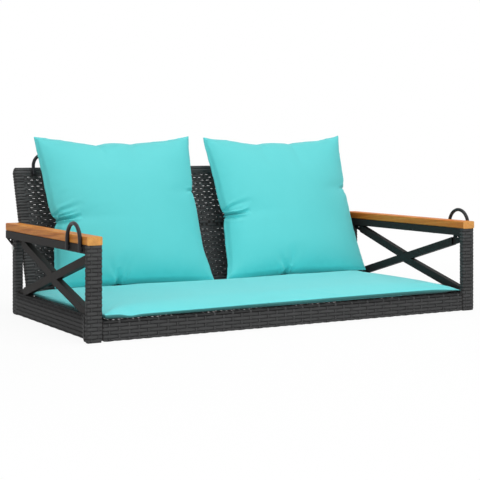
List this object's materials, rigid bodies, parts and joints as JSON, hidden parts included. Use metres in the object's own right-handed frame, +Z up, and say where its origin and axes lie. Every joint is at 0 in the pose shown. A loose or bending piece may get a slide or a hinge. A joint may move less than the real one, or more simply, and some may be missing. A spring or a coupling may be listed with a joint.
{
  "type": "porch swing seat",
  "caption": "Two-seat hanging porch swing seat: steel frame woven over with resin wicker, reclined woven back, wooden arm boards, crossed side braces, loose seat and back cushions.",
  "frame": {"origin": "on the ground line under the middle of the seat, at the bottom centre of the bounding box", "axes": "+X along the bench to the sitter's left (the viewer's right from the front), +Y from the front of the seat to its back, +Z up"},
  "size_m": [1.108, 0.596, 0.4536],
  "materials": {
    "woven_resin": "woven strands, satin",
    "black_steel": "powder coated, satin",
    "oiled_wood": "oiled",
    "black_plastic": "moulded, matt",
    "zinc_steel": "zinc plated",
    "cushion_fabric": "woven polyester, matt"
  },
  "bodies": {
    "frame": {"left_front_post": "black_steel", "right_front_post": "black_steel", "left_rear_post": "black_steel", "right_rear_post": "black_steel", "left_front_wrap": "woven_resin", "right_front_wrap": "woven_resin", "left_rear_wrap": "woven_resin", "right_rear_wrap": "woven_resin", "left_front_foot": "black_plastic", "right_front_foot": "black_plastic", "left_rear_foot": "black_plastic", "right_rear_foot": "black_plastic", "left_arm_tube": "black_steel", "right_arm_tube": "black_steel", "arm_tube_caps": "black_plastic", "left_arm_board": "oiled_wood", "right_arm_board": "oiled_wood", "arm_board_screws": "zinc_steel", "left_upper_rail": "black_steel", "right_upper_rail": "black_steel", "left_lower_rail": "black_steel", "right_lower_rail": "black_steel", "left_side_weave": "woven_resin", "right_side_weave": "woven_resin", "left_long_brace": "black_steel", "right_long_brace": "black_steel", "left_short_braces": "black_steel", "right_short_braces": "black_steel", "left_corner_tabs": "black_steel", "right_corner_tabs": "black_steel", "left_arm_rib": "black_steel", "right_arm_rib": "black_steel", "left_front_loop": "black_steel", "right_front_loop": "black_steel", "left_rear_loop": "black_steel", "right_rear_loop": "black_steel", "apron_upper_tube": "black_steel", "apron_lower_tube": "black_steel", "front_apron": "woven_resin", "seat_deck": "woven_resin", "seat_left_tube": "black_steel", "seat_right_tube": "black_steel", "seat_rear_tube": "black_steel", "seat_left_bearer": "black_steel", "seat_middle_bearer": "black_steel", "seat_right_bearer": "black_steel", "seat_fixing_plates": "black_steel", "seat_bolts": "zinc_steel", "backrest_top_tube": "black_steel", "backrest_bottom_tube": "black_steel", "backrest_left_tube": "black_steel", "backrest_right_tube": "black_steel", "backrest_middle_tube": "black_steel", "backrest_weave": "woven_resin", "backrest_feet": "black_steel", "backrest_bolts": "zinc_steel"},
    "seat_pad": {"seat_cushion": "cushion_fabric"},
    "left_pillow": {"left_back_cushion": "cushion_fabric"},
    "right_pillow": {"right_back_cushion": "cushion_fabric"}
  },
  "joints": [
    {"name": "seat_cushion_off", "type": "slide", "parent": "frame", "child": "seat_pad", "axis": [0, -1, 0], "range_m": [0, 0.3]},
    {"name": "left_back_cushion_off", "type": "slide", "parent": "frame", "child": "left_pillow", "axis": [0, 0, 1], "range_m": [0, 0.25]},
    {"name": "right_back_cushion_off", "type": "slide", "parent": "frame", "child": "right_pillow", "axis": [0, 0, 1], "range_m": [0, 0.25]}
  ]
}
